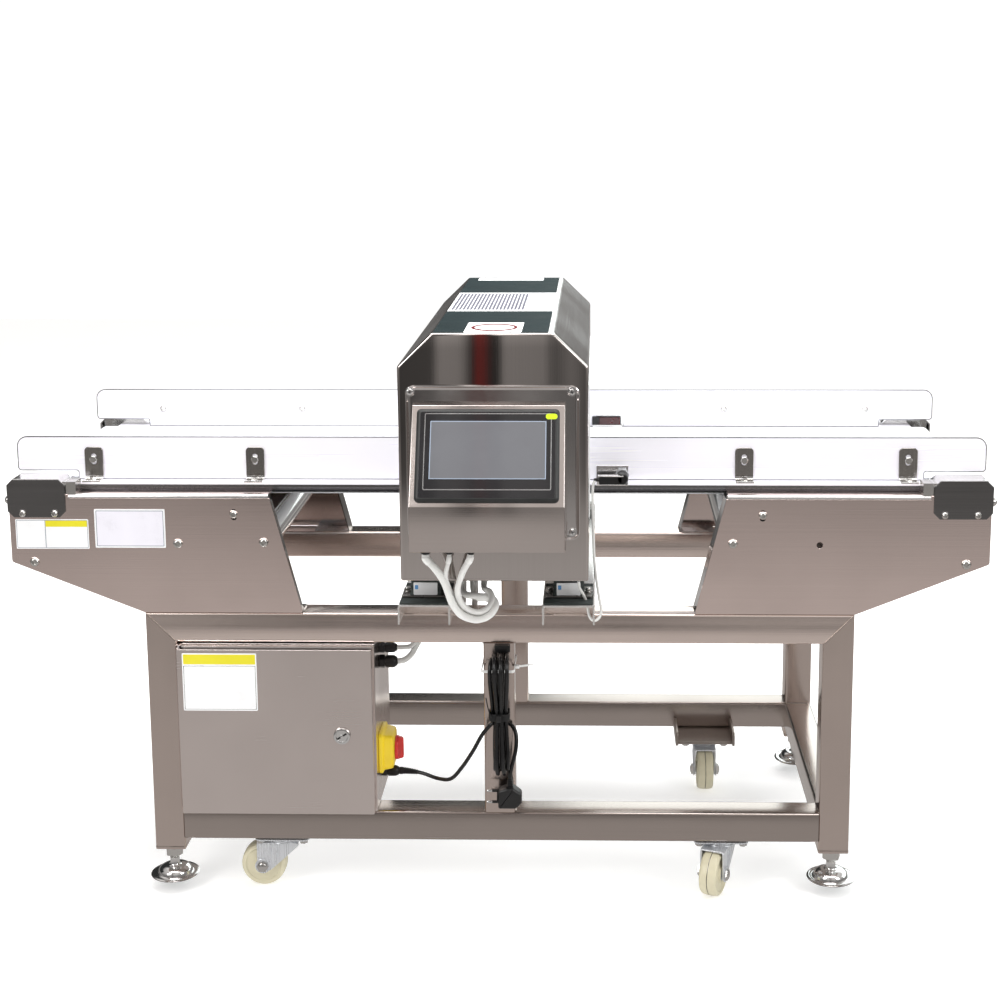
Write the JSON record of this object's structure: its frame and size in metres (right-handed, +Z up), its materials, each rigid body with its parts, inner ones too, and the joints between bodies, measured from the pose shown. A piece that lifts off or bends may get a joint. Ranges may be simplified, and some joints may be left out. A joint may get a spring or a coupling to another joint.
{
  "type": "conveyor food metal detector",
  "caption": "Belt conveyor with a through-tunnel metal detector head, tilted touch panel, control cabinet and a wheeled stainless stand with levelling feet",
  "frame": {"origin": "Middle of the footprint, on the floor under the casters", "axes": "+X along the belt to the right as the operator stands, -Y towards the operator, +Z up"},
  "size_m": [1.592, 0.8882, 0.952],
  "materials": {
    "stainless_brushed": "brushed square tube and sheet",
    "stainless_bright": "polished",
    "head_sheet": "fine brushed, polished upper part",
    "guard_sheet": "bright polished sheet",
    "dark_steel": "dark brushed",
    "zinc": "bright zinc",
    "nylon_cream": "satin",
    "belt_white": "smooth satin food belt",
    "black_plastic": "satin",
    "white_plastic": "satin",
    "rubber_black": "matt",
    "black_gloss": "gloss",
    "glass_screen": "gloss",
    "isolator_yellow": "satin",
    "isolator_red": "gloss",
    "reflector_red": "gloss",
    "resin": "cast resin",
    "motor_grey": "satin paint",
    "circuit_green": "satin",
    "pvc_cord": "smooth sheath"
  },
  "bodies": {
    "stand": {"frame_legs": "stainless_brushed", "frame_long_rails": "stainless_brushed", "frame_end_rails": "stainless_brushed", "frame_posts": "stainless_brushed", "mounting_plates": "stainless_brushed", "slider_bed": "stainless_brushed", "conveyor_belt": "belt_white", "side_guards": "guard_sheet", "guard_brackets": "dark_steel", "wing_plates": "stainless_brushed", "wing_pans": "stainless_brushed", "tie_tubes": "stainless_bright", "end_caps": "dark_steel", "bearing_blocks": "black_plastic", "shaft_bearings": "black_plastic", "gearmotor": "motor_grey", "timing_belt": "rubber_black", "head_shell": "head_sheet", "head_end_covers": "head_sheet", "tunnel_liner": "white_plastic", "search_coil": "resin", "panel_housing": "head_sheet", "display_bezel": "black_gloss", "display_glass": "glass_screen", "support_channels": "stainless_brushed", "isolators": "rubber_black", "cabinet": "stainless_brushed", "switch_base": "isolator_yellow", "cable_glands": "black_plastic", "circuit_units": "circuit_green", "photo_sensor": "black_plastic", "reflector": "reflector_red", "fixed_cables": "white_plastic", "mains_lead": "pvc_cord", "cord_hank": "pvc_cord", "plug_lead": "pvc_cord", "mains_plug": "black_plastic", "cord_ties": "black_plastic", "fasteners": "stainless_bright"},
    "foot_front_left_body": {"foot_front_left": "stainless_bright"},
    "foot_front_right_body": {"foot_front_right": "stainless_bright"},
    "foot_back_left_body": {"foot_back_left": "stainless_bright"},
    "foot_back_right_body": {"foot_back_right": "stainless_bright"},
    "fork_front_left_body": {"fork_front_left": "zinc"},
    "wheel_front_left_body": {"wheel_front_left": "nylon_cream"},
    "fork_front_right_body": {"fork_front_right": "zinc"},
    "wheel_front_right_body": {"wheel_front_right": "nylon_cream"},
    "fork_back_left_body": {"fork_back_left": "zinc"},
    "wheel_back_left_body": {"wheel_back_left": "nylon_cream"},
    "fork_back_right_body": {"fork_back_right": "zinc"},
    "wheel_back_right_body": {"wheel_back_right": "nylon_cream"},
    "drum_body": {"drive_drum": "stainless_bright"},
    "end_roller_left_body": {"end_roller_left": "stainless_bright"},
    "end_roller_right_body": {"end_roller_right": "stainless_bright"},
    "return_roller_left_body": {"return_roller_left": "stainless_bright"},
    "return_roller_right_body": {"return_roller_right": "stainless_bright"},
    "motor_pulley_body": {"motor_pulley": "stainless_bright"},
    "door_body": {"cabinet_door": "stainless_brushed"},
    "lock_body": {"door_lock": "black_plastic"},
    "knob_body": {"switch_knob": "isolator_red"}
  },
  "joints": [
    {"name": "foot_front_left_slide", "type": "slide", "parent": "stand", "child": "foot_front_left_body", "axis": [0, 0, 1], "range_m": [-0.03, 0.01]},
    {"name": "foot_front_right_slide", "type": "slide", "parent": "stand", "child": "foot_front_right_body", "axis": [0, 0, 1], "range_m": [-0.03, 0.01]},
    {"name": "foot_back_left_slide", "type": "slide", "parent": "stand", "child": "foot_back_left_body", "axis": [0, 0, 1], "range_m": [-0.03, 0.01]},
    {"name": "foot_back_right_slide", "type": "slide", "parent": "stand", "child": "foot_back_right_body", "axis": [0, 0, 1], "range_m": [-0.03, 0.01]},
    {"name": "swivel_front_left", "type": "hinge", "parent": "stand", "child": "fork_front_left_body", "pos_m": [-0.365, -0.21894, 0.084], "axis": [0, 0, 1], "continuous": true},
    {"name": "wheel_front_left_spin", "type": "hinge", "parent": "fork_front_left_body", "child": "wheel_front_left_body", "pos_m": [-0.399, -0.21894, 0.0375], "axis": [0, 1, 0], "continuous": true},
    {"name": "swivel_front_right", "type": "hinge", "parent": "stand", "child": "fork_front_right_body", "pos_m": [0.365, -0.21894, 0.084], "axis": [0, 0, 1], "continuous": true},
    {"name": "wheel_front_right_spin", "type": "hinge", "parent": "fork_front_right_body", "child": "wheel_front_right_body", "pos_m": [0.35226, -0.25046, 0.0375], "axis": [-0.9272, 0.3746, 0], "continuous": true},
    {"name": "swivel_back_left", "type": "hinge", "parent": "stand", "child": "fork_back_left_body", "pos_m": [-0.365, 0.21506, 0.084], "axis": [0, 0, 1], "continuous": true},
    {"name": "wheel_back_left_spin", "type": "hinge", "parent": "fork_back_left_body", "child": "wheel_back_left_body", "pos_m": [-0.39251, 0.19508, 0.0375], "axis": [-0.5878, 0.809, 0], "continuous": true},
    {"name": "swivel_back_right", "type": "hinge", "parent": "stand", "child": "fork_back_right_body", "pos_m": [0.365, 0.21506, 0.084], "axis": [0, 0, 1], "continuous": true},
    {"name": "wheel_back_right_spin", "type": "hinge", "parent": "fork_back_right_body", "child": "wheel_back_right_body", "pos_m": [0.365, 0.18106, 0.0375], "axis": [-1, 0, 0], "continuous": true},
    {"name": "drum_spin", "type": "hinge", "parent": "stand", "child": "drum_body", "pos_m": [-0.5145, 0.02506, 0.597], "axis": [0, 1, 0], "continuous": true},
    {"name": "end_roller_left_spin", "type": "hinge", "parent": "stand", "child": "end_roller_left_body", "pos_m": [-0.766, 0.02506, 0.678], "axis": [0, 1, 0], "continuous": true},
    {"name": "end_roller_right_spin", "type": "hinge", "parent": "stand", "child": "end_roller_right_body", "pos_m": [0.766, 0.02506, 0.678], "axis": [0, 1, 0], "continuous": true},
    {"name": "return_roller_left_spin", "type": "hinge", "parent": "stand", "child": "return_roller_left_body", "pos_m": [-0.423, 0.02506, 0.645], "axis": [0, 1, 0], "continuous": true},
    {"name": "return_roller_right_spin", "type": "hinge", "parent": "stand", "child": "return_roller_right_body", "pos_m": [0.423, 0.02506, 0.645], "axis": [0, 1, 0], "continuous": true},
    {"name": "motor_pulley_spin", "type": "hinge", "parent": "stand", "child": "motor_pulley_body", "pos_m": [-0.433, -0.21494, 0.519], "axis": [0, 1, 0], "continuous": true},
    {"name": "door_hinge", "type": "hinge", "parent": "stand", "child": "door_body", "pos_m": [-0.5195, -0.25994, 0.285], "axis": [0, 0, -1], "range_deg": [0, 95]},
    {"name": "lock_turn", "type": "hinge", "parent": "door_body", "child": "lock_body", "pos_m": [-0.255, -0.27194, 0.28], "axis": [0, 1, 0], "range_deg": [-90, 0]},
    {"name": "switch_turn", "type": "hinge", "parent": "stand", "child": "knob_body", "pos_m": [-0.178, -0.19494, 0.23], "axis": [1, 0, 0], "range_deg": [0, 90]}
  ],
  "couplings": [
    {"joint": "end_roller_left_spin", "follows": "drum_spin", "ratio": 3.75},
    {"joint": "end_roller_right_spin", "follows": "drum_spin", "ratio": 3.75},
    {"joint": "return_roller_left_spin", "follows": "drum_spin", "ratio": -2.3684},
    {"joint": "return_roller_right_spin", "follows": "drum_spin", "ratio": -2.3684},
    {"joint": "motor_pulley_spin", "follows": "drum_spin", "ratio": 1}
  ]
}
